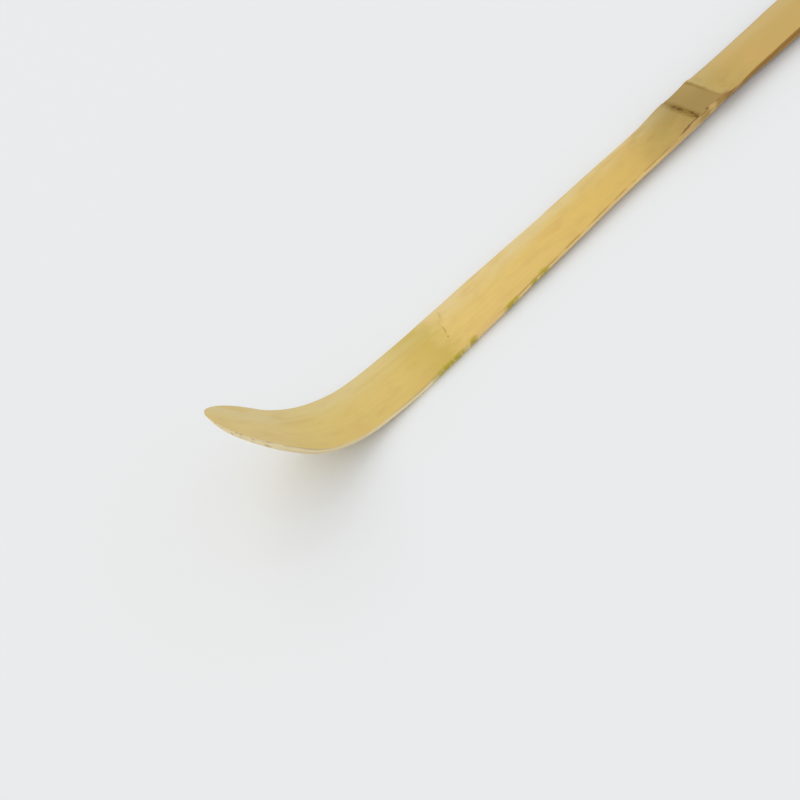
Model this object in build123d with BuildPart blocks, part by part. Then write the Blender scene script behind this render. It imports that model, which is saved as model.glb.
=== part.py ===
from build123d import *
import math
import os

os.makedirs("parts", exist_ok=True)

# Bamboo tea scoop, carved from one split strip and bent by heat, lying on its back
# The strip runs along X, bowl towards -X, skin side up, with the floor at Z = 0

# Driving lengths along the strip, in millimetres, and the angles of the bend
lip_length = 13.8
bend_radius = 20.5
bend_angle = 53.0
ease_radius = 60.0
ease_angle = 8.0
stem_length = 68.5
handle_length = 74.5

# Widths, from the bowl to the cut end
bowl_width = 10.8
shoulder_width = 9.5
neck_width = 9.3
middle_width = 7.9
waist_width = 7.3
node_width = 7.7
handle_width = 7.95
end_width = 7.5
tip_turn = 48.0
side_ease_radius = 30.0

# Thicknesses, from the lip to the cut end
lip_thickness = 0.7
belly_thickness = 1.0
end_thickness = 3.2

# Node: height of the skin at the sheath scar, and the two crests beside it
scar_top = 2.45
crest_rise = 0.5
hollow_rise = 0.12
lower_swell_run = 8.0
lower_crest_before = 2.4
hollow_after = 1.6
upper_crest_after = 6.3
upper_swell_run = 11.0
crest_radius = 8.0
scar_radius = 0.3
scar_depth = 0.15

# Carved bevels along the skin side and round the cut end
skin_bevel = 0.25
end_bevel = 0.35

# Underside: flat where it lies on a table, arched in between
belly_flat = 6.0
heel_flat = 8.0
arch_height = 1.05

# Shares of the lip, the stem and the handle where the outline from above changes
widest_share = 0.82
bowl_run_share = 0.4
middle_share = 0.5
waist_share = 0.87
handle_width_share = 0.5
skin_facing_share = 0.5

# Places along X, with the origin under the middle of the scoop
lip_reach = lip_length * math.cos(math.radians(bend_angle))
lip_lift = lip_length * math.sin(math.radians(bend_angle))
bend_reach = bend_radius * (math.sin(math.radians(bend_angle)) - math.sin(math.radians(ease_angle)))
bend_lift = bend_radius * (math.cos(math.radians(ease_angle)) - math.cos(math.radians(bend_angle)))
ease_reach = ease_radius * math.sin(math.radians(ease_angle))
ease_lift = ease_radius * (1 - math.cos(math.radians(ease_angle)))
overall_length = lip_reach + bend_reach + ease_reach + stem_length + handle_length
tip_x = -overall_length / 2
shoulder_x = tip_x + lip_reach + bend_reach
neck_x = shoulder_x + ease_reach
scar_x = neck_x + stem_length
end_x = scar_x + handle_length
belly_end_x = neck_x + belly_flat
heel_start_x = end_x - heel_flat
lip_end_top = belly_thickness + ease_lift + bend_lift
tip_top = lip_end_top + lip_lift
lip_edge = lip_thickness / math.cos(math.radians(bend_angle))

# Two tangent arcs that round the tip, from its apex to the widest point of the bowl
widest_x = tip_x + widest_share * lip_reach
tip_sine = math.sin(math.radians(tip_turn))
tip_cosine = math.cos(math.radians(tip_turn))
tip_arc_sum = tip_sine + tip_cosine - 1
tip_radius = (bowl_width / 2 * tip_cosine - (widest_x - tip_x) * (1 - tip_sine)) / tip_arc_sum
side_radius = ((widest_x - tip_x) * tip_sine - bowl_width / 2 * (1 - tip_cosine)) / tip_arc_sum

# Places of the node's crests, and the slopes of the skin that they stand on
lower_swell_x = scar_x - lower_swell_run
lower_crest_x = scar_x - lower_crest_before
hollow_x = scar_x + hollow_after
upper_crest_x = scar_x + upper_crest_after
upper_swell_x = scar_x + upper_swell_run
stem_slope = (scar_top - belly_thickness) / stem_length
handle_slope = (end_thickness - scar_top) / handle_length
stem_tilt = math.degrees(math.atan(stem_slope))


def skin_line(x):
    """Height of the skin side at x, without the node's crests"""
    slope = stem_slope if x < scar_x else handle_slope
    return scar_top + slope * (x - scar_x)


# Strip seen from the side: skin side, cut end, underside and lip
with BuildPart() as scoop:
    with BuildSketch(Plane.XZ) as side_view:
        with BuildLine() as side_outline:
            lip = Line((tip_x, tip_top), (tip_x + lip_reach, lip_end_top))
            bend = JernArc(lip @ 1, lip % 1, bend_radius, bend_angle - ease_angle)
            ease = JernArc(bend @ 1, bend % 1, ease_radius, ease_angle + stem_tilt)
            skin = FilletPolyline(
                ease @ 1,
                (lower_swell_x, skin_line(lower_swell_x)),
                (lower_crest_x, skin_line(lower_crest_x) + crest_rise),
                (hollow_x, skin_line(hollow_x) + hollow_rise),
                (upper_crest_x, skin_line(upper_crest_x) + crest_rise),
                (upper_swell_x, skin_line(upper_swell_x)),
                (end_x, end_thickness),
                radius=crest_radius,
            )
            cut_end = Line(skin @ 1, (end_x, 0))
            heel = Line(cut_end @ 1, (heel_start_x, 0))
            arch = ThreePointArc(
                heel @ 1, ((belly_end_x + heel_start_x) / 2, arch_height), (belly_end_x, 0)
            )
            belly = Line(arch @ 1, (neck_x, 0))
            under_ease = JernArc(belly @ 1, belly % 1, ease_radius + belly_thickness, -ease_angle)
            under_bend = JernArc(
                under_ease @ 1, under_ease % 1, bend_radius + belly_thickness, ease_angle - bend_angle
            )
            under_lip = Line(under_bend @ 1, (tip_x, tip_top - lip_edge))
            Line(under_lip @ 1, lip @ 0)
        make_face()
    extrude(amount=bowl_width, both=True)

    # Outline seen from above, symmetrical about the X axis
    with BuildSketch(Plane.XY) as top_view:
        with BuildLine() as top_outline:
            tip_round = JernArc((tip_x, 0), (0, 1), tip_radius, -tip_turn)
            side_round = JernArc(tip_round @ 1, tip_round % 1, side_radius, tip_turn - 90)
            edge = FilletPolyline(
                side_round @ 1,
                (widest_x + bowl_run_share * lip_reach, bowl_width / 2),
                (shoulder_x, shoulder_width / 2),
                (neck_x, neck_width / 2),
                (neck_x + middle_share * stem_length, middle_width / 2),
                (neck_x + waist_share * stem_length, waist_width / 2),
                (upper_crest_x, node_width / 2),
                (scar_x + handle_width_share * handle_length, handle_width / 2),
                (end_x, end_width / 2),
                radius=side_ease_radius,
            )
            Line(edge @ 1, (end_x, 0))
            mirror(about=Plane.XZ)
        make_face()
    extrude(amount=2 * tip_top, mode=Mode.INTERSECT)

    # Bevels: along both edges of the skin side and round the tip, then round the cut end
    skin_faces = faces().filter_by(lambda face: face.normal_at().Z > skin_facing_share)
    skin_edges = skin_faces.edges().filter_by(Axis.Y, reverse=True)
    chamfer(skin_edges.filter_by_position(Axis.X, shoulder_x, end_x), skin_bevel)
    chamfer(faces().sort_by(Axis.X)[-1].edges(), end_bevel)

    # Scar of the leaf sheath, a shallow groove across the skin
    with BuildSketch(Plane.XZ.offset(-bowl_width)) as scar:
        with Locations((scar_x, skin_line(scar_x) + hollow_rise + scar_radius - scar_depth)):
            Circle(scar_radius)
    extrude(amount=2 * bowl_width, mode=Mode.SUBTRACT)

scoop.part.label = "bamboo_scoop"
export_step(scoop.part, "parts/bamboo_scoop.step")
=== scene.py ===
"""Bamboo tea scoop: the finished surface over its CAD solid, with a plain studio round it

The strip is one surface. Its sections stand on a path along the skin side, and each section
is a closed loop: skin, bevel, cut side, underside and back. Work inside is in millimetres,
measured along the strip from the sheath scar, minus towards the bowl.
"""

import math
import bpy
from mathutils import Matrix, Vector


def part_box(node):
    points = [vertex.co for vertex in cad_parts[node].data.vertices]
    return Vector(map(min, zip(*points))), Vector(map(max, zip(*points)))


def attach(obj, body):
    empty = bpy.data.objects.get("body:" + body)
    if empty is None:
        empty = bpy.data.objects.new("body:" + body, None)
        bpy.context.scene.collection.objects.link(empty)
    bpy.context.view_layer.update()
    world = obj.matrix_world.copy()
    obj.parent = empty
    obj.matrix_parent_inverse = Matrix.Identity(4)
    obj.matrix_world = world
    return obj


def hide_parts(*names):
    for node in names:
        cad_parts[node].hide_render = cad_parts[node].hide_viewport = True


bl_info = {
    "name": "Bamboo tea scoop",
    "version": (1, 0, 0),
    "blender": (4, 5, 0),
    "location": "3D view > Sidebar > Tea scoop",
    "description": "Carves a bent bamboo tea scoop, gives it its finish and lights it",
    "category": "Add Mesh",
}

import bmesh
import bpy
import numpy as np
from bpy.props import FloatProperty, FloatVectorProperty, PointerProperty
from bpy.types import NodeSocket, Operator, Panel, PropertyGroup
from mathutils import Matrix, Vector

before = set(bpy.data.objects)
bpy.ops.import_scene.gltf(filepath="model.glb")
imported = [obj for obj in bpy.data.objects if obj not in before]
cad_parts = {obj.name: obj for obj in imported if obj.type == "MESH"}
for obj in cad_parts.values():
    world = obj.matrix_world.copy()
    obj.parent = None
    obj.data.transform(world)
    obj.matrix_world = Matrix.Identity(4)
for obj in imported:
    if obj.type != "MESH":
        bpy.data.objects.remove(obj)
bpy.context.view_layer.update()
strip_low, strip_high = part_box("bamboo_scoop")
MM = 0.001

# Where the outline from above changes, as shares of the lip, the stem and the handle
WIDEST_SHARE = 0.82
BOWL_END_SHARE = 1.22
MIDDLE_SHARE = 0.5
WAIST_SHARE = 0.87
HANDLE_SHARE = 0.5

# Columns of a section: across the skin, down the bevel, the cut side and the lower bevel, and back
SKIN_COLUMNS = 57
BEVEL_COLUMNS = 5
FLANK_COLUMNS = 10
UNDER_BEVEL_COLUMNS = 4
SIDE_COLUMNS = BEVEL_COLUMNS + FLANK_COLUMNS + UNDER_BEVEL_COLUMNS
BACK_COLUMNS = 23
BEVEL_POWER = 1.5

# Rows round the tip, rings on the cut end, and the step in which the spacing of the rest is summed.
# Behind the tip, rows per millimetre everywhere and what each closer part adds
TIP_ROWS = 46
END_RINGS = 9
FIRST_RING = 0.9
SPACING_STEP = 0.01
STRIP_DENSITY = 2.0
BOWL_DENSITY = 1.2
NODE_DENSITY = 6.0
SCAR_DENSITY = 11.0
RIDGE_DENSITY = 8.0

# Zones in millimetres past the scar: where each starts, is full, starts to fade and ends. The knife's
# waver starts at the shoulder, so only its end is here
CLOSE_ROWS_ZONE = (-10, -7, 12, 16)
WIDE_BEVEL_ZONE = (-3.5, -0.6, 5.5, 9)
FLAT_NODE_ZONE = (-9, -2, 8, 13)
KNIFE_FADE = (60, 74)

# Millimetres: upper crest past the scar, the length in which the bowl's hollow starts, how far past the
# shoulder it ends, room left at the cut end, how near points are merged, the shortest edge kept, and
# the least half width that shares to the edge are worked out with
UPPER_CREST_AFTER = 6.3
HOLLOW_START = 8
HOLLOW_PAST_SHOULDER = 4
END_ROOM = 0.03
MERGE_DISTANCE = 0.0004
SLIVER_LENGTH = 0.0001
SMALLEST_HALF = 0.01

# Lean of the cut side: in millimetres everywhere, and in the bowl as a share of the thickness. Where
# the bevel is wider, its depth grows by less than its width
SIDE_LEAN = 0.03
BOWL_LEAN_SHARE = 0.45
BEVEL_DEPTH_SHARE = 0.8

# Power by which the culm's own curve falls towards the edges of the skin
CROWN_POWER = 2.6

# Marks: waves per millimetre of the noise that makes their outlines uneven, how far it pushes them,
# and a depth so great that they never fade inward
MARK_WAVES = (0.9, 0.9, 0.9)
MARK_PUSH = (1.0, 0.5, 0.0)
MARK_DEPTH = 1000

# Bundles in the flesh: how many to a millimetre, the power of the depth that crowds them towards the
# skin, how much slower they change along the strip, and how far from the scar and how much they swirl
BUNDLES_PER_MM = 2.1
BUNDLE_CROWDING = 0.7
BUNDLE_STRETCH = 0.02
SWIRL_REACH = 6.0
SWIRL_DEPTH = 2.0

# Fine relief in millimetres, and what the skin's streaks add to it and to the roughness
RELIEF_DEPTH = 0.03
STREAK_RELIEF = 0.3
STREAK_ROUGHNESS = 0.08

# Layout of the nodes in the editor
NODES_IN_ROW = 16
NODE_STEP = (180, -260)

# Lamp's place in metres, the sensor's width in millimetres that the lens is given for, the nearest
# place that the camera sees in metres, and its place in millimetres with the way that its sensor lies
LAMP_AT = (-0.1, 0.55, 0.8)
SENSOR_WIDTH = 36
NEAREST_SEEN = 0.01
CAMERA_AT = (-112.975, -76.94, 110.304)
CAMERA_RIGHT = (0.68491, -0.71163, -0.1565)
CAMERA_UP = (0.63135, 0.4724, 0.61501)


def linear(hex_colour):
    """An sRGB hex colour as linear red, green, blue and alpha"""
    parts = [int(hex_colour[k : k + 2], 16) / 255 for k in (0, 2, 4)]
    bent = [p / 12.92 if p <= 0.04045 else ((p + 0.055) / 1.055) ** 2.4 for p in parts]
    return (*bent, 1.0)


def length(name, description, millimetres):
    """One size of the scoop, shown in the sidebar in the scene's own unit"""
    default = millimetres * MM
    return FloatProperty(
        name=name, description=description, default=default, subtype="DISTANCE", unit="LENGTH"
    )


def angle(name, description, degrees):
    """One angle of the scoop, shown in the sidebar in degrees"""
    default = math.radians(degrees)
    return FloatProperty(name=name, description=description, default=default, subtype="ANGLE")


def number(name, description, default):
    """One plain number, such as how strong a lamp is"""
    return FloatProperty(name=name, description=description, default=default)


def colour(name, description, hex_colour):
    """One colour, given as sRGB hex and kept linear"""
    default = linear(hex_colour)
    return FloatVectorProperty(
        name=name, description=description, default=default, size=4, min=0, max=1, subtype="COLOR"
    )


class ScoopSizes(PropertyGroup):
    """Sizes of the carved strip"""

    lip_length: length("Lip", "Straight part of the bowl, from the tip to the bend", 13.8)
    bend_radius: length("Bend radius", "Radius of the heat bend on the skin side", 20.5)
    bend_angle: angle("Bend angle", "How steeply the lip rises", 53.0)
    ease_radius: length("Ease radius", "Radius of the slower curve into the stem", 60.0)
    ease_angle: angle("Ease angle", "Part of the bend that the slower curve takes", 8.0)
    stem_length: length("Stem", "From the end of the bend to the sheath scar", 68.5)
    handle_length: length("Handle", "From the sheath scar to the cut end", 74.5)
    bowl_width: length("Bowl width", "Widest place of the bowl", 10.8)
    shoulder_width: length("Shoulder width", "Width where the bend starts to ease", 9.5)
    neck_width: length("Neck width", "Width where the stem starts", 9.3)
    middle_width: length("Middle width", "Width halfway along the stem", 7.9)
    waist_width: length("Waist width", "Narrowest place, just below the node", 7.3)
    node_width: length("Node width", "Width at the upper ridge of the node", 7.7)
    handle_width: length("Handle width", "Width halfway along the handle", 7.95)
    end_width: length("End width", "Width of the cut end", 7.5)
    tip_angle: angle("Tip angle", "Turn of the blunter arc that rounds the tip", 48.0)
    lip_thickness: length("Lip thickness", "Thickness at the tip", 0.7)
    belly_thickness: length("Belly thickness", "Thickness through the bend", 1.0)
    scar_top: length("Scar height", "Height of the skin at the sheath scar", 2.45)
    end_thickness: length("End thickness", "Thickness of the cut end", 3.2)
    crest_rise: length("Crest rise", "Height of the two crests beside the scar", 0.5)
    hollow_rise: length("Hollow rise", "Height of the skin between the crests", 0.12)
    skin_bevel: length("Skin bevel", "Scraped edge along the skin side", 0.14)
    node_bevel: length("Node bevel", "Wider scraped edge at the node, on one side", 0.34)
    under_bevel: length("Underside bevel", "Scraped edge along the underside", 0.13)
    end_bevel: length("End bevel", "Knife bevel round the cut end", 0.35)
    skin_crown: length("Skin crown", "Height of the culm's own curve across the skin", 0.08)
    bowl_dish: length("Bowl dish", "Depth of the hollow across the bowl", 0.18)
    arch_height: length("Arch height", "Height of the underside above the table", 1.05)
    belly_flat: length("Belly flat", "Flat under the neck that rests on the table", 6.0)
    heel_flat: length("Heel flat", "Flat under the cut end that rests on the table", 8.0)


class ScoopColours(PropertyGroup):
    """Colours of the bamboo"""

    bowl_skin: colour("Bowl skin", "Skin in the bowl", "e0c478")
    neck_skin: colour("Neck skin", "Skin at the neck", "e1c16e")
    stem_skin: colour("Stem skin", "Skin halfway along the stem", "ddbb61")
    upper_skin: colour("Upper stem skin", "Skin below the node's shade", "d2b05b")
    shade_skin: colour("Shaded skin", "Grey-olive bloom below the scar", "b89c4e")
    scar_skin: colour("Skin by the scar", "Greyer skin close to the scar", "a58a47")
    node_skin: colour("Node skin", "Skin just above the node", "bb9f53")
    handle_skin: colour("Handle skin", "Skin along the handle", "c5a457")
    # Warm mottle of the skin, and also the colour of the painted shade on the skin's side away from the
    # lamp
    warm_mottle: colour("Warm mottle", "Warmer patches that the skin dries to", "d2a860")
    # Painted light: a paler colour laid on the skin towards the edge that faces the lamp
    pale_mottle: colour("Pale mottle", "Paler, greener skin towards one edge", "ded0a5")
    node_shade: colour("Node shade", "Darkest smudges of the bloom", "a08742")
    node_band: colour("Node band", "Grey-brown skin between the scar and the ridge", "a08343")
    halo_brown: colour("Halo brown", "Soft brown streak round the scar", "84671c")
    scar_brown: colour("Scar brown", "Dark corky spots in the scar", "5c3c00")
    ridge_brown: colour("Ridge brown", "Fine line along the node's upper ridge", "937630")
    # Thin dark line where skin meets the cut side, darkest on the side away from the lamp
    edge_brown: colour("Edge brown", "Thin scorched line where skin meets the cut side", "8a5f2c")
    # Flesh of the bowl's cut rim, made paler as a painted highlight
    rim_flesh: colour("Rim flesh", "Thin cut rim of the bowl", "f0deae")
    side_flesh: colour("Side flesh", "Cut side along the stem", "f2cf86")
    # Partly darker outer fibres, partly painted shade: the cut side along the handle is darker than along
    # the stem
    handle_flesh: colour("Handle flesh", "Cut side along the handle", "a67a2c")
    under_flesh: colour("Underside flesh", "Inner wood of the culm", "e6cf9e")
    bundle_brown: colour("Bundle brown", "Vascular bundles in the cut flesh", "744812")
    bowl_stain: colour("Bowl stain", "Yellow-green stain that use leaves in the bowl", "b8a434")


class StageSettings(PropertyGroup):
    """Floor, lamp, surroundings and camera"""

    floor_colour: colour("Floor", "Plain pale floor and background", "eaeced")
    floor_size: length("Floor size", "Side of the square floor", 8000.0)
    key_strength: number("Key strength", "Strength of the wide soft lamp", 0.74)
    key_spread: angle("Key spread", "How wide the soft lamp looks from the scoop", 60.0)
    world_strength: number("World strength", "Even light from all round; 1 would light white fully", 0.8)
    camera_lens: number("Lens", "Focal length on a 36 mm wide sensor, in millimetres", 45.0)


def eased_runs(at, places, values, reach):
    """Straight runs through (places, values), rounded by averaging them over reach to either side"""
    shifts = np.linspace(-reach, reach, num=13)
    return np.mean([np.interp(at + shift, places, values) for shift in shifts], axis=0)


def waver(at, *waves):
    """Sum of sine waves, each given by its height, its radians per millimetre and its start in radians"""
    return sum(height * np.sin(rate * at + start) for height, rate, start in waves)


def bell(at, centre, width):
    """Bell curve: e to the minus square of the distance from centre, counted in widths"""
    return np.exp(-(((at - centre) / width) ** 2))


def smooth_step(at, start, end):
    """0 before start, 1 after end, and three squares less two cubes in between"""
    share = np.clip((at - start) / (end - start), 0, 1)
    return share * share * (3 - 2 * share)


def zone(at, start, full, fade, end):
    """1 from full to fade, and smooth steps down to 0 at start and at end"""
    return smooth_step(at, start, full) * (1 - smooth_step(at, fade, end))


class Strip:
    """The strip's measures in millimetres, read once from the sidebar's sizes"""

    def __init__(self, sizes):
        for name in ScoopSizes.__annotations__:
            value = getattr(sizes, name)
            setattr(self, name, value if name.endswith("angle") else value / MM)
        self.tip_x = strip_low.x / MM
        self.end_x = strip_high.x / MM
        self.scar_x = self.end_x - self.handle_length
        self.neck_x = self.scar_x - self.stem_length
        self.stem_tilt = math.atan((self.scar_top - self.belly_thickness) / self.stem_length)
        self.handle_tilt = math.atan((self.end_thickness - self.scar_top) / self.handle_length)
        bend_run = self.bend_radius * (self.bend_angle - self.ease_angle)
        ease_run = self.ease_radius * (self.ease_angle + self.stem_tilt)
        stem_run = self.stem_length - self.ease_radius * math.sin(self.stem_tilt)
        self.tip_top = (
            self.belly_thickness
            + self.ease_radius * (1 - math.cos(self.ease_angle))
            + self.bend_radius * (math.cos(self.ease_angle) - math.cos(self.bend_angle))
            + self.lip_length * math.sin(self.bend_angle)
        )
        self.tip_along = -(self.lip_length + bend_run + ease_run + stem_run)
        self.lip_end_along = self.tip_along + self.lip_length
        self.shoulder_along = self.lip_end_along + bend_run
        self.stem_start_along = self.shoulder_along + ease_run
        self.end_along = self.handle_length - END_ROOM
        # Runs of the path with their curvature. The last one is longer than the handle, so it never ends
        self.runs = (
            (self.lip_length, 0.0),
            (bend_run, 1 / self.bend_radius),
            (ease_run, 1 / self.ease_radius),
            (stem_run, 0.0),
            (2 * self.handle_length, 0.0),
        )

    def path(self, along):
        """Place and heading of the skin line, run by run

        In a run, the heading turns by the distance times the curvature, and the place moves along the
        chord of that arc. The handle then sets off at its own tilt.
        """
        x = np.full_like(along, self.tip_x)
        z = np.full_like(along, self.tip_top)
        heading = np.full_like(along, -self.bend_angle)
        gone = along - self.tip_along
        for k, (run, curve) in enumerate(self.runs):
            if k == len(self.runs) - 1:
                heading = np.where(gone > 0, self.handle_tilt, heading)
            step = np.clip(gone, 0 if k else None, run)
            turned = heading + step * curve
            middle = heading + step * curve / 2
            chord = step if curve == 0 else 2 / curve * np.sin(step * curve / 2)
            x = x + chord * np.cos(middle)
            z = z + chord * np.sin(middle)
            heading = turned
            gone = gone - run
        return x, z, heading

    def half_width(self, x):
        """Half the width at x, from the bowl's widest place to the cut end, as eased straight runs"""
        lip_reach = self.lip_length * math.cos(self.bend_angle)
        places = (
            self.tip_x + WIDEST_SHARE * lip_reach,
            self.tip_x + BOWL_END_SHARE * lip_reach,
            self.neck_x - self.ease_radius * math.sin(self.ease_angle),
            self.neck_x,
            self.neck_x + MIDDLE_SHARE * self.stem_length,
            self.neck_x + WAIST_SHARE * self.stem_length,
            self.scar_x + UPPER_CREST_AFTER,
            self.scar_x + HANDLE_SHARE * self.handle_length,
            self.end_x,
        )
        widths = (
            self.bowl_width,
            self.bowl_width,
            self.shoulder_width,
            self.neck_width,
            self.middle_width,
            self.waist_width,
            self.node_width,
            self.handle_width,
            self.end_width,
        )
        return eased_runs(x, places, widths, reach=2.5) / 2

    def drift(self, along):
        """How far one edge stands in from a symmetrical outline, because the strip was cut by hand"""
        places = (-44, -36, -27, -20, -12, -4, 5, 10, 15, 26)
        inward = (0, -0.12, 0.05, 0.12, -0.08, -0.06, 0.08, -0.15, 0.02, 0)
        return eased_runs(along, places, inward, reach=2.0)

    def node_lean(self, along):
        """How far the same side is cut back under the skin past the node, where it looks thinnest"""
        places = (-2, 2, 4, 7, 10, 13, 17, 26)
        inward = (0, 0.14, 0.16, 0.3, 0.46, 0.32, 0.2, 0)
        return eased_runs(along, places, inward, reach=1.0)

    def tip_outline(self, turn):
        """Tip seen from above: two tangent arcs, the blunter one first, that turn by a right angle in all

        Gives the distance along the sloping lip and the distance across, at each turn of the outline.
        """
        half = self.bowl_width / 2
        reach = WIDEST_SHARE * self.lip_length * math.cos(self.bend_angle)
        join = self.tip_angle
        total = math.sin(join) + math.cos(join) - 1
        front = (half * math.cos(join) - reach * (1 - math.sin(join))) / total
        side = (reach * math.sin(join) - half * (1 - math.cos(join))) / total
        first = np.minimum(turn, join)
        second = np.maximum(turn, join)
        forward = front * (1 - np.cos(first)) + side * (math.cos(join) - np.cos(second))
        across = front * np.sin(first) + side * (np.sin(second) - math.sin(join))
        return forward / math.cos(self.bend_angle), across

    def thickness(self, along, x, z):
        """Skin to underside: the lip's taper, the even belly, then the height above the arched underside"""
        taper = np.clip((along - self.tip_along) / self.lip_length, 0, 1)
        bent = self.lip_thickness + (self.belly_thickness - self.lip_thickness) * taper
        arch_start = self.neck_x + self.belly_flat
        arch_end = self.end_x - self.heel_flat
        middle, half = (arch_start + arch_end) / 2, (arch_end - arch_start) / 2
        under = self.arch_height * np.clip(1 - ((x - middle) / half) ** 2, 0, None)
        return np.where(x < self.neck_x, bent, z - under)

    def bowl_share(self, along):
        """1 in the bowl and the bend, eased to 0 at the tip and past the shoulder"""
        full = self.tip_along + HOLLOW_START
        end = self.shoulder_along + HOLLOW_PAST_SHOULDER
        return zone(along, self.tip_along, full, self.lip_end_along, end)

    def scar_gap(self, along, y):
        """Distance past the sheath scar, which wanders a little as it crosses the strip"""
        across = (-3.6, -2.7, -1.9, -1.1, 0.3, 3.6)
        forward = (-0.6, -0.2, 0.15, -0.05, -0.25, -0.35)
        line = eased_runs(y, across, forward, reach=0.3)
        return along - line - waver(y, (0.05, 5.3, 0.7), (0.03, 11.7, 2.1))

    def ridge_gap(self, along, y):
        """Distance past the fine line on the upper ridge, which dips in the middle"""
        line = eased_runs(y, (-3.7, -2.3, -0.7, 1.9, 3.7), (6.6, 6.4, 6.35, 6.5, 6.3), reach=0.6)
        return along - line - waver(y, (0.04, 4.1, 1.3))

    def dish(self, along, edge):
        """Hollow across the bowl: deepest in the middle, less by the square of the share to the edge"""
        return self.bowl_dish * (1 - edge**2) * self.bowl_share(along)

    def relief(self, along, y, edge):
        """Height added to the skin, as a sum

        It has the node's two crests as eased runs, the scar's groove and the line on the upper ridge as
        bells cut in, the low ledges beside them as bells laid on, the culm's crown, which falls by a
        power of the share to the edge, the bowl's dish, and low waves that rubbing leaves.
        """
        crest = self.crest_rise
        places = (-8.0, -2.4, 1.6, 5.0, 6.2, 8.0, 11.0)
        rises = (0, crest, self.hollow_rise, 0.6 * crest, 1.1 * crest, 0.06, 0)
        crests = eased_runs(along, places, rises, reach=0.7)
        scar = self.scar_gap(along, y)
        ridge = self.ridge_gap(along, y)
        groove_depth = 0.09 + waver(y, (0.04, 2.3, 1.0))
        cuts = groove_depth * bell(scar, centre=0, width=0.3)
        cuts = cuts + 0.05 * bell(ridge, centre=0, width=0.16)
        ledges = 0.06 * bell(scar, centre=-0.55, width=0.5) + 0.05 * bell(ridge, centre=0.35, width=0.4)
        crowned = (1 - self.bowl_share(along)) * (1 - zone(along, *FLAT_NODE_ZONE))
        crown = self.skin_crown * edge**CROWN_POWER * crowned
        rubbed = 0.012 * np.sin(0.31 * along + 0.9 * y) + 0.008 * np.sin(0.83 * along - 1.4 * y + 1.0)
        return crests - cuts + ledges - crown - self.dish(along, edge) + rubbed

    def rows(self):
        """Places of the sections and half the width at each

        They stand at even turns round the tip. Behind it, the rows per millimetre are a sum over the
        whole strip, the bowl with its bend, the node, the scar and the upper ridge. The half width gets
        the low waves of a knife added.
        """
        turn = np.linspace(0, math.pi / 2, TIP_ROWS)
        tip_along, tip_half = self.tip_outline(turn)
        fine = np.arange(self.tip_along + tip_along[-1], self.end_along - self.end_bevel, SPACING_STEP)
        density = (
            STRIP_DENSITY
            + BOWL_DENSITY * (fine < self.stem_start_along)
            + NODE_DENSITY * zone(fine, *CLOSE_ROWS_ZONE)
            + SCAR_DENSITY * bell(fine, centre=-0.2, width=0.9)
            + RIDGE_DENSITY * bell(fine, centre=6.1, width=0.8)
        )
        count = np.cumsum(density) * SPACING_STEP
        rest = np.interp(np.linspace(0, count[-1], int(count[-1])), count, fine)
        rest[-1] = self.end_along - self.end_bevel
        along = np.concatenate([self.tip_along + tip_along, rest[1:]])
        half = np.concatenate([tip_half, self.half_width(self.path(rest[1:])[0])])
        knife = waver(along, (0.03, 0.23, 0.0), (0.015, 0.61, 1.0))
        return along, half + knife * zone(along, self.shoulder_along, self.stem_start_along, *KNIFE_FADE)


def section_loop():
    """Shares of a section's loop, from one skin edge across the skin and round the back to the same edge

    Each column mixes the row's bevel, lean and underside bevel into how far it stands in from the
    outline, and the bevel and the full height into how deep it lies. Bevels are superellipses, whose
    shares are 1 less the sine or cosine of the turn to the power of 2 over BEVEL_POWER.
    """
    power = 2 / BEVEL_POWER
    bevel = np.linspace(0, math.pi / 2, BEVEL_COLUMNS + 1)[1:]
    flank = np.linspace(0, 1, FLANK_COLUMNS + 1)[1:]
    under = np.linspace(0, math.pi / 2, UNDER_BEVEL_COLUMNS + 1)[1:]
    no_bevel, no_flank = np.zeros(BEVEL_COLUMNS), np.zeros(FLANK_COLUMNS)
    no_under, past_flank = np.zeros(UNDER_BEVEL_COLUMNS), np.ones(UNDER_BEVEL_COLUMNS)
    # Name of the share, its value on the skin, its values down one side, and its value on the back
    shares = (
        ("bevel_in", 1.0, (1 - np.sin(bevel) ** power, no_flank, no_under), 0.0),
        ("lean_in", 0.0, (no_bevel, flank, past_flank), 1.0),
        ("under_in", 0.0, (no_bevel, no_flank, 1 - np.cos(under) ** power), 1.0),
        ("bevel_deep", 0.0, (1 - np.cos(bevel) ** power, 1 - flank, no_under), 0.0),
        ("full_deep", 0.0, (no_bevel, flank, past_flank), 1.0),
        ("under_up", 0.0, (no_bevel, flank, 1 - np.sin(under) ** power), 0.0),
    )
    loop = {}
    for name, skin, side, back in shares:
        side = np.concatenate(side)
        parts = [np.full(SKIN_COLUMNS, skin), side, np.full(BACK_COLUMNS, back), side[::-1]]
        loop[name] = np.concatenate(parts)
    right = np.ones(SIDE_COLUMNS)
    skin_across = np.linspace(-1, 1, SKIN_COLUMNS)
    back_across = np.linspace(1, -1, BACK_COLUMNS + 2)[1:-1]
    loop["across"] = np.concatenate([skin_across, right, back_across, -right])
    loop["on_skin"] = np.arange(len(loop["across"])) < SKIN_COLUMNS
    return loop


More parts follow.
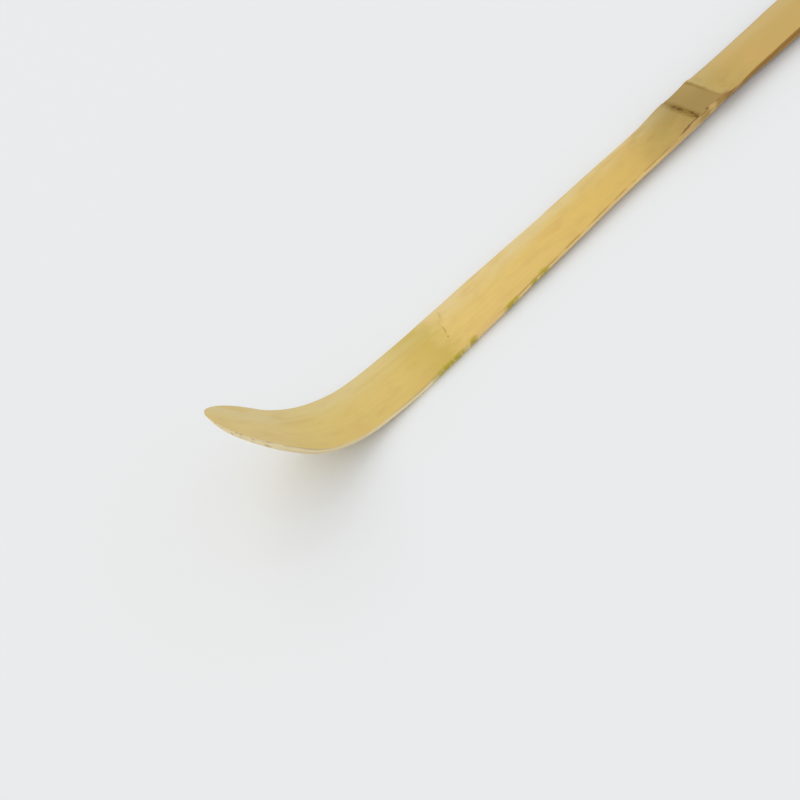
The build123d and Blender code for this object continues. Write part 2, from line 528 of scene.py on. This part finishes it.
def strip_surface(strip):
    """Grid of points of the whole strip, with the measures that the finish follows

    A point is the path's place, plus its distance across, plus its height along the path's normal.
    The outline is stepped inward along its own normal, so the tip's edge is the same as the sides'.
    At the tip, deeper columns also step back along the path, by the depth times the tangent of the
    bend, so that the lip ends upright. In the bowl the cut side leans in under the rim. One edge has a
    wider bevel at the node, and leans in past it.
    """
    along, half = strip.rows()
    slope_along, slope_half = np.gradient(along), np.gradient(half)
    slope_along[0] = 0
    run = np.hypot(slope_along, slope_half)
    inward_along, inward_across = slope_half / run, slope_along / run
    loop = section_loop()
    share = (loop["across"] + 1) / 2

    wider = (strip.node_bevel - strip.skin_bevel) * zone(along, *WIDE_BEVEL_ZONE)
    one_side = strip.skin_bevel + wider[:, None] * (1 - share)
    bevel_deep = strip.skin_bevel + BEVEL_DEPTH_SHARE * (one_side - strip.skin_bevel)
    x, z, _ = strip.path(along)
    in_bowl = 1 - smooth_step(along, strip.lip_end_along, strip.stem_start_along)
    bowl_lean = SIDE_LEAN + BOWL_LEAN_SHARE * strip.thickness(along, x, z) * in_bowl
    lean = bowl_lean[:, None] + strip.node_lean(along)[:, None] * (1 - share)
    inset = one_side * loop["bevel_in"] + lean * loop["lean_in"] + strip.under_bevel * loop["under_in"]
    thick = strip.thickness(along, x, z)[:, None]
    undercut = (bevel_deep * loop["bevel_deep"] + thick * loop["full_deep"]) * math.tan(strip.bend_angle)
    edge_y = np.maximum(half[:, None] - inset * inward_across[:, None], 0)
    y = edge_y * loop["across"] + strip.drift(along)[:, None] * np.clip(-loop["across"], 0, 1)
    stepped = inward_along[:, None]
    placed = along[:, None] + inset * stepped + undercut * np.clip(stepped, 0, 1) ** 2

    x, z, _ = strip.path(placed)
    edge = np.clip(np.abs(y) / np.maximum(half, SMALLEST_HALF)[:, None], 0, 1)
    rise = strip.relief(placed, y, edge)
    height = strip.thickness(placed, x, z) + strip.dish(placed, edge) + rise
    deep = bevel_deep * loop["bevel_deep"] + height * loop["full_deep"]
    deep = deep - strip.under_bevel * loop["under_up"]
    level = rise - deep
    edge_gap = np.where(
        loop["on_skin"],
        edge_y * (1 - np.abs(loop["across"])) * inward_across[:, None],
        -(deep + one_side - np.minimum(inset, one_side)),
    )

    # Cut end: a rounded bevel, then rings that shrink to the middle of the face
    turn = np.linspace(0, math.pi / 2, BEVEL_COLUMNS + 1)[1:]
    forward = np.concatenate([strip.end_bevel * np.sin(turn), np.full(END_RINGS, strip.end_bevel)])
    inward = np.concatenate([strip.end_bevel * (1 - np.cos(turn)), np.full(END_RINGS, strip.end_bevel)])
    rings = np.concatenate([np.ones(BEVEL_COLUMNS), np.linspace(FIRST_RING, 0, END_RINGS)])
    last_half_thick = height[-1].mean() / 2
    shrink_y = (1 - inward / half[-1]) * rings
    shrink_z = (1 - inward / last_half_thick) * rings
    middle = -last_half_thick
    cap_gap = np.minimum(edge_gap[-1], -forward[:, None])
    placed = np.vstack([placed, forward[:, None] + np.full_like(share, placed[-1].mean())])
    y = np.vstack([y, y[-1] * shrink_y[:, None]])
    level = np.vstack([level, middle + (level[-1] - middle) * shrink_z[:, None]])
    edge = np.vstack([edge, edge[-1] * shrink_y[:, None]])

    x, z, heading = strip.path(placed)
    points = np.stack([x - level * np.sin(heading), y, z + level * np.cos(heading)], axis=-1)
    points[..., 2] = np.maximum(points[..., 2], 0)
    grain = np.stack([placed, y, strip.relief(placed, y, edge) - level], axis=-1)
    measures = {
        "scar": strip.scar_gap(placed, y),
        "ridge": strip.ridge_gap(placed, y),
        "edge": np.vstack([edge_gap, cap_gap]),
    }
    return points, grain, measures


def grid_mesh(name, points, grain, measures):
    """Closed mesh from a grid whose columns run round in a loop, with faces that point outward

    The two sides meet in one line at the tip, and the last ring on the cut end is one point. What lies
    in the same place there is merged.
    """
    rows, columns = points.shape[:2]
    index = np.arange(rows * columns).reshape(rows, columns)
    after = np.roll(index, -1, axis=1)
    faces = np.stack([index[:-1], index[1:], after[1:], after[:-1]], axis=-1).reshape(-1, 4)
    mesh = bpy.data.meshes.new(name)
    mesh.from_pydata((points.reshape(-1, 3) * MM).tolist(), [], faces.tolist())
    mesh.attributes.new("grain", "FLOAT_VECTOR", "POINT").data.foreach_set("vector", grain.reshape(-1))
    for label, values in measures.items():
        mesh.attributes.new(label, "FLOAT", "POINT").data.foreach_set("value", values.reshape(-1))
    shell = bmesh.new()
    shell.from_mesh(mesh)
    bmesh.ops.remove_doubles(shell, verts=shell.verts, dist=MERGE_DISTANCE * MM)
    bmesh.ops.dissolve_degenerate(shell, edges=shell.edges, dist=SLIVER_LENGTH * MM)
    shell.to_mesh(mesh)
    shell.free()
    mesh.shade_smooth()
    mesh.update()
    return mesh


def place_node(tree, kind, *inputs, out=0, **settings):
    """Add one shader node and give back an output, or several where out is a slice

    Settings are the node's own options. Inputs are pairs of a socket and what goes in it.
    """
    made = tree.nodes.new(kind)
    row, column = divmod(len(tree.nodes), NODES_IN_ROW)
    made.location = (NODE_STEP[0] * column, NODE_STEP[1] * row)
    for option, value in settings.items():
        setattr(made, option, value)
    for socket, value in inputs:
        if isinstance(value, NodeSocket):
            tree.links.new(value, made.inputs[socket])
        else:
            made.inputs[socket].default_value = value
    return made.outputs[out] if len(made.outputs) else None


# Noise patterns: name, waves per millimetre along, across and deep, and how much finer detail they carry.
# The skin's own lengthwise lines are 0.1 mm apart, too fine to show, so the streaks are 0.4 mm apart
NOISES = (
    ("clouds", (0.07, 0.3, 0.3), 2.0),
    ("patches", (0.16, 0.5, 0.5), 2.0),
    ("wisps", (0.28, 0.6, 0.6), 2.0),
    ("streaks", (0.035, 2.4, 2.4), 3.0),
    ("fibres", (0.06, 3.5, 3.5), 4.0),
    ("breaks", (1.6, 0.9, 0.9), 3.0),
    ("specks", (2.2, 3.4, 3.4), 2.0),
)

# Marks with soft, uneven edges. Each is an ellipse: the mark it is part of, its centre along and
# across, its half sizes, its turn in degrees and its strength
MARKS = (
    ("cores", (-0.5, 1.5), (0.52, 0.75), 0, 0.8),
    ("cores", (-0.45, 0.35), (0.5, 0.8), 0, 0.9),
    ("cores", (-0.2, -1.85), (0.5, 0.9), -12, 1.0),
    ("cores", (-0.6, -2.85), (0.6, 0.4), 35, 0.9),
    ("cores", (2.3, -3.2), (0.46, 0.26), 25, 1.0),
    ("edge_cores", (-3.4, -3.45), (3.6, 0.19), 1, 0.8),
    ("edge_cores", (-0.7, -3.25), (1.0, 0.26), 25, 0.8),
    # Three faint dark marks by the neck
    ("scratch", (-60.75, -0.95), (0.3, 0.24), 0, 0.7),
    ("scratch", (-60.15, 0.4), (1.3, 0.24), 62, 0.5),
    ("scratch", (-58.3, 3.0), (1.2, 0.26), 60, 0.25),
    ("tinge", (3.4, -3.6), (1.6, 0.5), 0, 0.4),
    ("tinge", (10.3, -4.1), (2.4, 0.45), 0, 0.2),
    ("corner", (7.4, -3.45), (1.6, 0.55), 0, 0.45),
    ("edge_marks", (-64.0, -4.5), (5.4, 0.55), 0, 1.0),
    ("edge_marks", (-59.0, -4.35), (1.3, 0.6), 10, 1.0),
    ("edge_marks", (-50.0, -4.25), (2.4, 0.5), 2, 1.0),
    ("edge_marks", (-44.7, -4.2), (1.3, 0.4), 0, 1.0),
    ("edge_marks", (-42.2, -4.1), (1.6, 0.6), -4, 1.0),
)

# Sums: name, first value, what it is multiplied by, and the value or number added to that
SUMS = (
    ("leaning", "across", -0.8, "along"),
    ("slanted", "patches", 5.0, "leaning"),
    ("fraying", "wisps", 10.0, "along"),
    ("past_halo", "along", 1.0, 0.5),
    ("past_line", "ridge", 1.0, 0.3),
    ("rough_edge", "breaks", 0.12, "edge"),
)

# Distances to either side of a line, with uneven noise added: name, line, noise and how much of it
DISTANCES = (
    ("halo_off", "past_halo", "specks", 0.9),
    ("scar_off", "scar", "breaks", 0.45),
    ("ridge_off", "past_line", "breaks", 0.4),
)

# Masks: name, value read, where it starts and ends, and its two levels. A level that is a name is
# that mask, so one mask is narrowed by another
MASKS = (
    # Zones of the skin's colour along the strip
    ("to_neck", "along", -80.0, -64.0, 0.0, 1.0),
    ("to_stem", "along", -58.0, -22.0, 0.0, 1.0),
    ("to_upper", "along", -30.0, -8.0, 0.0, 1.0),
    ("to_shade", "slanted", -13.0, -4.0, 0.0, 1.0),
    ("to_scar", "along", -9.0, -1.0, 0.0, 1.0),
    ("to_node", "along", 0.0, 6.0, 0.0, 1.0),
    ("to_handle", "along", 9.0, 19.0, 0.0, 1.0),
    # Mottling from 3 to 25 mm long, painted shade on the side away from the lamp and painted light on the
    # side towards it, and the lengthwise streaks
    ("warm_clouds", "clouds", 0.5, 0.72, 0.0, 0.32),
    ("warm_wisps", "wisps", 0.45, 0.75, 0.0, 0.2),
    ("dull_side", "across", -0.3, -3.2, 0.0, 0.14),
    ("pale_zone", "along", 0.0, -12.0, 0.2, 0.5),
    ("pale_clouds", "clouds", 0.7, 0.4, 0.1, "pale_zone"),
    ("pale_side", "across", 0.0, 3.5, 0.0, "pale_clouds"),
    ("skin_streaks", "streaks", 0.5, 0.75, 0.0, 0.16),
    ("skin_fibres", "fibres", 0.45, 0.75, 0.0, 0.16),
    # Smudges of bloom to either side of the node
    ("past_node", "along", 16.0, 10.0, 0.08, 0.34),
    ("near_node", "along", -15.0, -10.0, 0.05, "past_node"),
    ("smudges", "wisps", 0.42, 0.72, 0.0, "near_node"),
    # Stain in the bowl, strongest along its end at the neck
    ("stain_depth", "along", -62.0, -72.0, 0.54, 0.2),
    ("stain", "fraying", -54.0, -58.0, 0.0, "stain_depth"),
    # Band between the scar and the ridge
    ("band_depth", "across", -0.5, 2.5, 0.95, 0.72),
    ("past_scar", "scar", -0.1, 0.5, 0.0, "band_depth"),
    ("band", "ridge", 0.15, -0.35, 0.0, "past_scar"),
    # Sheath scar: a soft streak over 1 mm wide that fades towards both edges, and a finer dark line in it
    ("halo_left", "across", 3.0, 1.7, 0.3, 0.92),
    ("halo_ends", "across", -3.5, -2.9, 0.1, "halo_left"),
    ("halo_grain", "specks", 0.68, 0.42, 0.4, "halo_ends"),
    ("halo", "halo_off", 1.95, 0.8, 0.0, "halo_grain"),
    ("scar_line", "scar_off", 0.55, 0.25, 0.0, 0.3),
    ("corky_spots", "specks", 0.25, 0.5, 0.0, "cores"),
    # Upper ridge: a brown line that fades towards one side
    ("ridge_side", "across", -1.6, 0.6, 0.1, 0.8),
    ("ridge_line", "ridge_off", 0.8, 0.35, 0.0, "ridge_side"),
    # Cut flesh: darker along the handle, partly from its outer fibres and partly as painted shade, paler
    # inside, streaked by its bundles and fibres
    ("to_stem_side", "along", -66.0, -56.0, 0.0, 1.0),
    ("to_handle_side", "along", -18.0, 14.0, 0.0, 1.0),
    ("stem_side", "along", 14.0, 2.0, 0.08, 0.4),
    ("inner", "deep", 0.5, 1.6, 0.0, "stem_side"),
    ("handle_bundles", "along", 0.0, 14.0, 0.36, 0.6),
    ("bundle_marks", "bundles", 0.42, 0.12, 0.0, "handle_bundles"),
    ("fibre_marks", "fibres", 0.45, 0.7, 0.0, 0.24),
    ("band_outside", "deep", 2.2, 0.6, 0.15, 0.5),
    ("past_scar_side", "scar", -0.1, 0.5, 0.0, "band_outside"),
    ("band_side", "ridge", 0.15, -0.25, 0.0, "past_scar_side"),
    # Where skin meets flesh: a thin dark line, broken, and mostly along the stem's side away from the lamp
    ("is_skin", "rough_edge", 0.03, 0.08, 0.0, 1.0),
    ("line_patches", "wisps", 0.36, 0.6, 0.1, 0.6),
    ("line_side", "across", 1.0, -1.0, 0.1, "line_patches"),
    ("line_stem", "along", -58.0, -34.0, 0.15, "line_side"),
    ("line_reach", "along", 16.0, 8.0, 0.2, "line_stem"),
    ("edge_line", "edge_off", 0.22, 0.05, 0.0, "line_reach"),
    ("faint_marks", "edge_marks", 0.0, 1.0, 0.0, 0.55),
    ("edge_stains", "breaks", 0.38, 0.52, "faint_marks", "edge_marks"),
    # Satin where the skin is rubbed, matt where the scar is corky, and dry where the knife cut
    ("cut_relief", "is_skin", 1.0, 0.0, 0.0, "fibres"),
    ("skin_dullness", "halo", 0.0, 0.8, 0.4, 0.75),
    ("dullness", "is_skin", 0.0, 1.0, 0.6, "skin_dullness"),
)

# Coats of colour in order: the coat painted on, the colour or finished coat that goes over it, its mask
COATS = (
    ("skin", "neck_skin", "to_neck"),
    ("skin", "stem_skin", "to_stem"),
    ("skin", "upper_skin", "to_upper"),
    ("skin", "shade_skin", "to_shade"),
    ("skin", "scar_skin", "to_scar"),
    ("skin", "node_skin", "to_node"),
    ("skin", "handle_skin", "to_handle"),
    ("skin", "warm_mottle", "warm_clouds"),
    ("skin", "warm_mottle", "warm_wisps"),
    # Painted shade: the skin darkens towards the edge away from the lamp
    ("skin", "warm_mottle", "dull_side"),
    # Painted light on the skin towards the edge that faces the lamp
    ("skin", "pale_mottle", "pale_side"),
    ("skin", "warm_mottle", "skin_streaks"),
    ("skin", "shade_skin", "skin_fibres"),
    ("skin", "node_shade", "smudges"),
    ("skin", "bowl_stain", "stain"),
    ("skin", "ridge_brown", "scratch"),
    ("skin", "node_band", "band"),
    ("skin", "halo_brown", "halo"),
    ("skin", "scar_brown", "scar_line"),
    ("skin", "ridge_brown", "ridge_line"),
    ("skin", "scar_brown", "corky_spots"),
    ("surface", "side_flesh", "to_stem_side"),
    # Partly painted shade: the cut side darkens along the handle
    ("surface", "handle_flesh", "to_handle_side"),
    ("surface", "under_flesh", "inner"),
    ("surface", "bundle_brown", "bundle_marks"),
    ("surface", "bundle_brown", "fibre_marks"),
    ("surface", "node_band", "band_side"),
    ("surface", "skin", "is_skin"),
    ("surface", "edge_brown", "edge_line"),
    ("surface", "scar_brown", "edge_cores"),
    ("surface", "side_flesh", "tinge"),
    ("surface", "edge_brown", "corner"),
    ("surface", "bowl_stain", "edge_stains"),
)


def bamboo_material(colours):
    """Bamboo culm wall: scraped and hand-rubbed skin, knife-cut flesh with its vascular bundles"""
    # Scraping and rubbing leave the skin satin, with a low sheen and faint lengthwise streaks. The knife
    # leaves the flesh dry and matt, with its bundles as brown streaks and dots. The scar is corky and dull
    made = bpy.data.materials.new("bamboo_rubbed_skin_and_cut_flesh")
    made.use_nodes = True
    tree = made.node_tree
    tree.nodes.clear()

    grain = place_node(tree, "ShaderNodeAttribute", attribute_name="grain", out="Vector")
    along, across, deep = place_node(tree, "ShaderNodeSeparateXYZ", (0, grain), out=slice(0, 3))
    value = {"along": along, "across": across, "deep": deep}
    for name in ("scar", "ridge", "edge"):
        value[name] = place_node(tree, "ShaderNodeAttribute", attribute_name=name, out="Fac")
    for name, waves, detail in NOISES:
        spread = place_node(tree, "ShaderNodeMapping", ("Vector", grain), ("Scale", waves))
        inputs = (("Vector", spread), ("Scale", 1.0), ("Detail", detail), ("Roughness", 0.55))
        value[name] = place_node(tree, "ShaderNodeTexNoise", *inputs)

    # Marks are read at places pushed about by noise, which makes their outlines uneven. The noise is
    # about half on average, so half of the push is added to their centres
    spread = place_node(tree, "ShaderNodeMapping", ("Vector", grain), ("Scale", MARK_WAVES))
    inputs = (("Vector", spread), ("Scale", 1.0), ("Detail", 3.0))
    wobble = place_node(tree, "ShaderNodeTexNoise", *inputs, out="Color")
    inputs = ((0, wobble), (1, MARK_PUSH), (2, grain))
    pushed = place_node(tree, "ShaderNodeVectorMath", *inputs, operation="MULTIPLY_ADD")
    for name, (centre, side), (reach, breadth), turn, strength in MARKS:
        inputs = (
            ("Vector", pushed),
            ("Location", (centre + MARK_PUSH[0] / 2, side + MARK_PUSH[1] / 2, 0)),
            ("Rotation", (0, 0, math.radians(turn))),
            ("Scale", (reach, breadth, MARK_DEPTH)),
        )
        local = place_node(tree, "ShaderNodeMapping", *inputs, vector_type="TEXTURE")
        ball = place_node(
            tree, "ShaderNodeTexGradient", ("Vector", local), gradient_type="SPHERICAL", out="Fac"
        )
        inputs = (("Value", ball), ("From Max", 0.7), ("To Max", strength))
        mark = place_node(tree, "ShaderNodeMapRange", *inputs, interpolation_type="SMOOTHSTEP")
        if name in value:
            mark = place_node(tree, "ShaderNodeMath", (0, value[name]), (1, mark), operation="MAXIMUM")
        value[name] = mark

    for name, first, factor, added in SUMS:
        inputs = ((0, value[first]), (1, factor), (2, value.get(added, added)))
        value[name] = place_node(tree, "ShaderNodeMath", *inputs, operation="MULTIPLY_ADD")
    for name, line, noise, factor in DISTANCES:
        off = place_node(tree, "ShaderNodeMath", (0, value[line]), operation="ABSOLUTE")
        inputs = ((0, value[noise]), (1, factor), (2, off))
        value[name] = place_node(tree, "ShaderNodeMath", *inputs, operation="MULTIPLY_ADD")
    value["edge_off"] = place_node(tree, "ShaderNodeMath", (0, value["rough_edge"]), operation="ABSOLUTE")

    # Bundles stand about 0.5 mm apart and crowd together towards the skin. They run lengthwise, so
    # they are streaks along the sides and the underside and dots on the cut end, and swirl at the node
    crowded = place_node(tree, "ShaderNodeMath", (0, deep), (1, BUNDLE_CROWDING), operation="POWER")
    inputs = (
        ("Value", value["scar_off"]),
        ("From Min", SWIRL_REACH),
        ("From Max", 0.0),
        ("To Max", SWIRL_DEPTH),
    )
    near_scar = place_node(tree, "ShaderNodeMapRange", *inputs)
    inputs = ((0, value["clouds"]), (1, near_scar), (2, crowded))
    swirled = place_node(tree, "ShaderNodeMath", *inputs, operation="MULTIPLY_ADD")
    stretched = place_node(tree, "ShaderNodeMath", (0, along), (1, BUNDLE_STRETCH), operation="MULTIPLY")
    cell = place_node(tree, "ShaderNodeCombineXYZ", (0, stretched), (1, across), (2, swirled))
    inputs = (("Vector", cell), ("Scale", BUNDLES_PER_MM))
    value["bundles"] = place_node(tree, "ShaderNodeTexVoronoi", *inputs, out="Distance")

    for name, source, start, end, low, high in MASKS:
        inputs = (
            ("Value", value[source]),
            ("From Min", start),
            ("From Max", end),
            ("To Min", value.get(low, low)),
            ("To Max", value.get(high, high)),
        )
        value[name] = place_node(tree, "ShaderNodeMapRange", *inputs, interpolation_type="SMOOTHSTEP")

    # The cut surface starts from the bowl's rim flesh, made paler as a painted highlight
    coats = {"skin": colours.bowl_skin[:], "surface": colours.rim_flesh[:]}
    for coat, over, mask in COATS:
        painted = coats[over] if over in coats else getattr(colours, over)[:]
        inputs = ((0, value[mask]), (6, coats[coat]), (7, painted))
        coats[coat] = place_node(tree, "ShaderNodeMix", *inputs, data_type="RGBA", out=2)

    # The relief of the cut fibres and of the skin's streaks is a few hundredths of a millimetre deep
    inputs = ((0, value["streaks"]), (1, STREAK_ROUGHNESS), (2, value["dullness"]))
    roughness = place_node(tree, "ShaderNodeMath", *inputs, operation="MULTIPLY_ADD")
    inputs = ((0, value["streaks"]), (1, STREAK_RELIEF), (2, value["cut_relief"]))
    height = place_node(tree, "ShaderNodeMath", *inputs, operation="MULTIPLY_ADD")
    inputs = (("Strength", 1.0), ("Distance", RELIEF_DEPTH * MM), ("Height", height))
    bump = place_node(tree, "ShaderNodeBump", *inputs)
    inputs = (("Base Color", coats["surface"]), ("Roughness", roughness), ("Normal", bump), ("IOR", 1.38))
    shader = place_node(tree, "ShaderNodeBsdfPrincipled", *inputs)
    place_node(tree, "ShaderNodeOutputMaterial", ("Surface", shader))
    return made


def floor_material(stage):
    """Matt paper backdrop, plain and pale, that keeps the scoop's shadow"""
    # Uncoated paper scatters light evenly, so it shows the shadow and no gloss
    made = bpy.data.materials.new("matt_paper_backdrop")
    made.use_nodes = True
    tree = made.node_tree
    tree.nodes.clear()
    inputs = (("Base Color", stage.floor_colour[:]), ("Roughness", 0.9), ("Specular IOR Level", 0.2))
    shader = place_node(tree, "ShaderNodeBsdfPrincipled", *inputs)
    place_node(tree, "ShaderNodeOutputMaterial", ("Surface", shader))
    return made


class SCOOP_OT_carve(Operator):
    """Carve the scoop from its sizes and give it its bamboo finish"""

    bl_idname = "scoop.carve"
    bl_label = "Carve scoop"

    def execute(self, context):
        strip = Strip(context.scene.scoop_sizes)
        mesh = grid_mesh("tea_scoop_strip", *strip_surface(strip))
        mesh.materials.append(bamboo_material(context.scene.scoop_colours))
        piece = bpy.data.objects.new("tea_scoop_strip", mesh)
        context.scene.collection.objects.link(piece)
        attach(piece, "root")
        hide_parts("bamboo_scoop")
        return {"FINISHED"}


class SCOOP_OT_stage(Operator):
    """Set the floor, the soft lamp, the even surroundings and the camera"""

    bl_idname = "scoop.stage"
    bl_label = "Set stage"

    def execute(self, context):
        scene, stage = context.scene, context.scene.scoop_stage
        reach = stage.floor_size / 2
        floor_mesh = bpy.data.meshes.new("floor")
        corners = [(-reach, -reach, 0), (reach, -reach, 0), (reach, reach, 0), (-reach, reach, 0)]
        floor_mesh.from_pydata(corners, [], [(0, 1, 2, 3)])
        floor_mesh.materials.append(floor_material(stage))
        floor = bpy.data.objects.new("floor", floor_mesh)
        scene.collection.objects.link(floor)

        lamp = bpy.data.lights.new("key", "SUN")
        lamp.energy = stage.key_strength
        lamp.angle = stage.key_spread
        key = bpy.data.objects.new("key", lamp)
        key.location = LAMP_AT
        key.rotation_euler = (-Vector(key.location)).to_track_quat("-Z", "Y").to_euler()
        scene.collection.objects.link(key)

        # Rays from the camera, gloss and glass see the floor's colour, and the rest see plain white light
        world = bpy.data.worlds.new("even_surroundings")
        world.use_nodes = True
        tree = world.node_tree
        tree.nodes.clear()
        seen = 0.0
        for ray in ("Is Camera Ray", "Is Glossy Ray", "Is Transmission Ray"):
            ray_kind = place_node(tree, "ShaderNodeLightPath", out=ray)
            seen = place_node(tree, "ShaderNodeMath", (0, seen), (1, ray_kind), operation="MAXIMUM")
        inputs = (("Color", (1, 1, 1, 1)), ("Strength", stage.world_strength))
        lighting = place_node(tree, "ShaderNodeBackground", *inputs)
        inputs = (("Color", stage.floor_colour[:]), ("Strength", 1.0))
        backdrop = place_node(tree, "ShaderNodeBackground", *inputs)
        joined = place_node(tree, "ShaderNodeMixShader", (0, seen), (1, lighting), (2, backdrop))
        place_node(tree, "ShaderNodeOutputWorld", ("Surface", joined))
        scene.world = world

        lens = bpy.data.cameras.new("camera")
        lens.lens = stage.camera_lens
        lens.sensor_width = SENSOR_WIDTH
        lens.clip_start = NEAREST_SEEN
        camera = bpy.data.objects.new("camera", lens)
        right, up = Vector(CAMERA_RIGHT), Vector(CAMERA_UP)
        turned = Matrix((right, up, right.cross(up))).transposed().to_4x4()
        camera.matrix_world = Matrix.Translation(Vector(CAMERA_AT) * MM) @ turned
        scene.collection.objects.link(camera)
        scene.camera = camera
        scene.view_settings.view_transform = "Standard"
        return {"FINISHED"}


class SCOOP_PT_panel(Panel):
    """Sidebar panel with the scoop's sizes, colours and stage"""

    bl_idname = "SCOOP_PT_panel"
    bl_label = "Tea scoop"
    bl_space_type = "VIEW_3D"
    bl_region_type = "UI"
    bl_category = "Tea scoop"

    def draw(self, context):
        groups = (
            (ScoopSizes, context.scene.scoop_sizes, "scoop.carve"),
            (ScoopColours, context.scene.scoop_colours, None),
            (StageSettings, context.scene.scoop_stage, "scoop.stage"),
        )
        for kind, values, operator in groups:
            box = self.layout.box()
            for name in kind.__annotations__:
                box.prop(values, name)
            if operator:
                box.operator(operator)


CLASSES = (ScoopSizes, ScoopColours, StageSettings, SCOOP_OT_carve, SCOOP_OT_stage, SCOOP_PT_panel)


def register():
    """Make the classes known to Blender and hang the three groups of settings on the scene"""
    for kind in CLASSES:
        bpy.utils.register_class(kind)
    bpy.types.Scene.scoop_sizes = PointerProperty(type=ScoopSizes)
    bpy.types.Scene.scoop_colours = PointerProperty(type=ScoopColours)
    bpy.types.Scene.scoop_stage = PointerProperty(type=StageSettings)


def unregister():
    """Take the settings and the classes away again, in the opposite order"""
    del bpy.types.Scene.scoop_stage
    del bpy.types.Scene.scoop_colours
    del bpy.types.Scene.scoop_sizes
    for kind in reversed(CLASSES):
        bpy.utils.unregister_class(kind)


def main():
    """Carve the scoop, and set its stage"""
    register()
    bpy.ops.scoop.carve()
    bpy.ops.scoop.stage()


if __name__ == "__main__":
    main()
